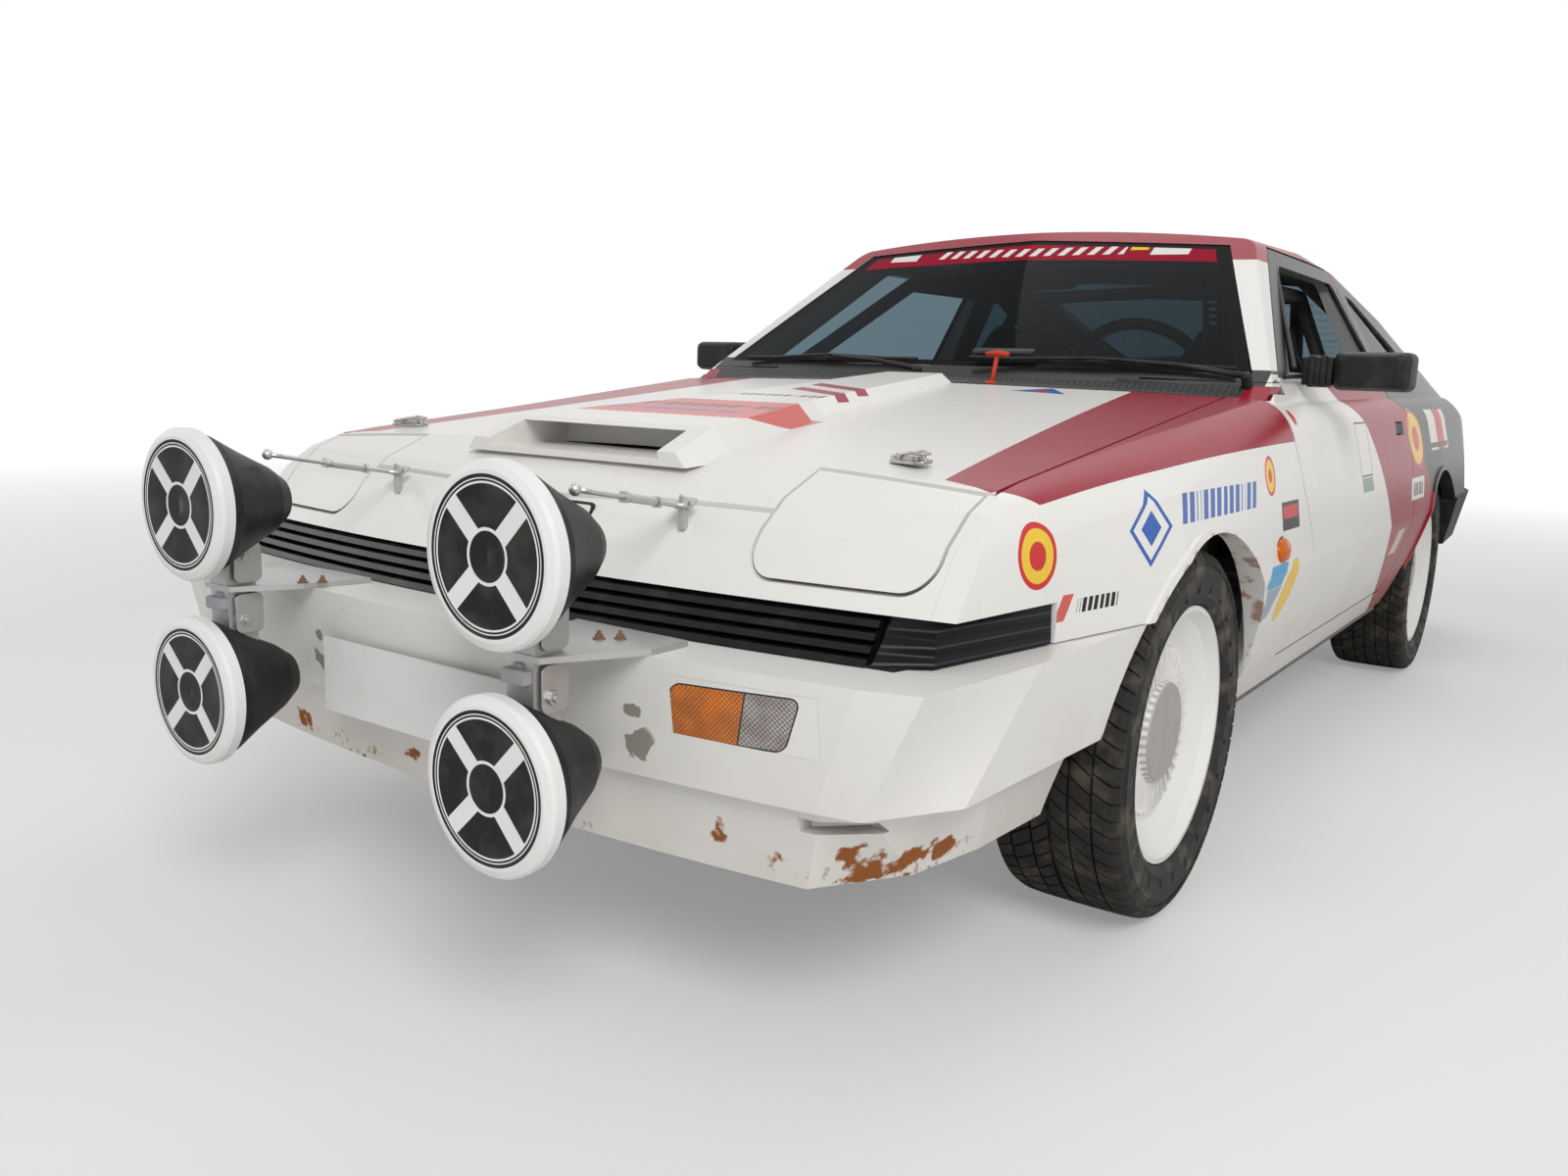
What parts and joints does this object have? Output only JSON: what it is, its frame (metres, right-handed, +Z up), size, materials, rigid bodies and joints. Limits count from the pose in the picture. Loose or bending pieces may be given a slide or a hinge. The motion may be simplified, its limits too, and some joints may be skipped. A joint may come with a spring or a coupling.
{
  "type": "rally car",
  "caption": "Two-door fastback rally car with pop-up headlamps, round auxiliary lamps on brackets, bonnet scoop, roll cage and turbine-finned wheels",
  "frame": {"origin": "on the ground under the middle of the car's box", "axes": "+X the car's left, +Y towards its tail, +Z up"},
  "size_m": [1.92, 4.575, 1.3019],
  "materials": {
    "body_paint": "warm white gloss paint with crimson and black stripes",
    "wheel_paint": "white gloss paint",
    "under_paint": "dull grey underbody paint",
    "cage_paint": "grey satin paint",
    "glass": "clear tinted",
    "black_trim": "black textured",
    "cover_white": "white with black pattern",
    "smoked_lens": "smoked",
    "amber_lens": "amber and clear",
    "red_lens": "red",
    "plate_white": "blank white",
    "zinc_steel": "zinc plated, dull, light rust",
    "dark_steel": "dark, dusty",
    "seat_cloth": "black cloth",
    "tyre_rubber": "dusty black rubber"
  },
  "bodies": {
    "body": {"front_fender_left": "body_paint", "front_fender_right": "body_paint", "nose_panel": "body_paint", "cowl_panel": "black_trim", "roof_frame": "body_paint", "rear_body": "body_paint", "windscreen": "glass", "quarter_glass": "glass", "tail_lamps": "red_lens", "front_bumper": "body_paint", "front_valance": "body_paint", "rear_bumper": "body_paint", "grille": "black_trim", "corner_lamps": "smoked_lens", "turn_lamps": "amber_lens", "number_plates": "plate_white", "lamp_covers": "cover_white", "lamp_bowls": "black_trim", "lamp_brackets": "zinc_steel", "stay_rods": "zinc_steel", "floor_pan": "under_paint", "engine_block": "dark_steel", "drivetrain": "dark_steel", "front_crossmember": "dark_steel", "rear_axle": "dark_steel", "dashboard": "black_trim", "seats": "seat_cloth", "roll_cage": "cage_paint"},
    "bonnet": {"bonnet": "body_paint"},
    "hatch": {"hatch": "body_paint", "hatch_glass": "glass"},
    "door_left": {"door_left": "body_paint", "mirror_left": "black_trim"},
    "door_right": {"door_right": "body_paint", "mirror_right": "black_trim"},
    "pod_left": {"headlamp_pod_left": "body_paint"},
    "pod_right": {"headlamp_pod_right": "body_paint"},
    "steering_wheel": {"steering_wheel": "black_trim"},
    "knuckle_left": {"knuckle_left": "dark_steel"},
    "knuckle_right": {"knuckle_right": "dark_steel"},
    "wheel_front_left": {"wheel_front_left": "wheel_paint", "tyre_front_left": "tyre_rubber"},
    "wheel_front_right": {"wheel_front_right": "wheel_paint", "tyre_front_right": "tyre_rubber"},
    "wheel_rear_left": {"wheel_rear_left": "wheel_paint", "tyre_rear_left": "tyre_rubber"},
    "wheel_rear_right": {"wheel_rear_right": "wheel_paint", "tyre_rear_right": "tyre_rubber"}
  },
  "joints": [
    {"name": "steer_left", "type": "hinge", "parent": "body", "child": "knuckle_left", "pos_m": [0.62, -1.1825, 0.196], "axis": [-0.1424, 0, 0.9898], "range_deg": [-33, 33]},
    {"name": "roll_front_left", "type": "hinge", "parent": "knuckle_left", "child": "wheel_front_left", "pos_m": [0.697, -1.1825, 0.317], "axis": [1, 0, 0], "continuous": true},
    {"name": "roll_rear_left", "type": "hinge", "parent": "body", "child": "wheel_rear_left", "pos_m": [0.697, 1.2525, 0.317], "axis": [1, 0, 0], "continuous": true},
    {"name": "door_left_hinge", "type": "hinge", "parent": "body", "child": "door_left", "pos_m": [0.846, -0.6375, 0.6], "axis": [0, 0, -1], "range_deg": [0, 65]},
    {"name": "pod_left_hinge", "type": "hinge", "parent": "body", "child": "pod_left", "pos_m": [0.56, -1.7825, 0.754], "axis": [-1, 0, 0], "range_deg": [0, 48]},
    {"name": "steer_right", "type": "hinge", "parent": "body", "child": "knuckle_right", "pos_m": [-0.62, -1.1825, 0.196], "axis": [0.1424, 0, 0.9898], "range_deg": [-33, 33]},
    {"name": "roll_front_right", "type": "hinge", "parent": "knuckle_right", "child": "wheel_front_right", "pos_m": [-0.697, -1.1825, 0.317], "axis": [1, 0, 0], "continuous": true},
    {"name": "roll_rear_right", "type": "hinge", "parent": "body", "child": "wheel_rear_right", "pos_m": [-0.697, 1.2525, 0.317], "axis": [1, 0, 0], "continuous": true},
    {"name": "door_right_hinge", "type": "hinge", "parent": "body", "child": "door_right", "pos_m": [-0.846, -0.6375, 0.6], "axis": [0, 0, 1], "range_deg": [0, 65]},
    {"name": "pod_right_hinge", "type": "hinge", "parent": "body", "child": "pod_right", "pos_m": [-0.56, -1.7825, 0.754], "axis": [-1, 0, 0], "range_deg": [0, 48]},
    {"name": "bonnet_hinge", "type": "hinge", "parent": "body", "child": "bonnet", "pos_m": [0, -0.6805, 0.878], "axis": [-1, 0, 0], "range_deg": [0, 55]},
    {"name": "hatch_hinge", "type": "hinge", "parent": "body", "child": "hatch", "pos_m": [0, 0.7295, 1.283], "axis": [1, 0, 0], "range_deg": [0, 62]},
    {"name": "column", "type": "hinge", "parent": "body", "child": "steering_wheel", "pos_m": [0.345, -0.2525, 0.88], "axis": [0, 0.9285, 0.3714], "range_deg": [-450, 450]}
  ],
  "couplings": [
    {"joint": "steer_right", "follows": "steer_left", "ratio": 1},
    {"joint": "column", "follows": "steer_left", "ratio": 13.6}
  ]
}
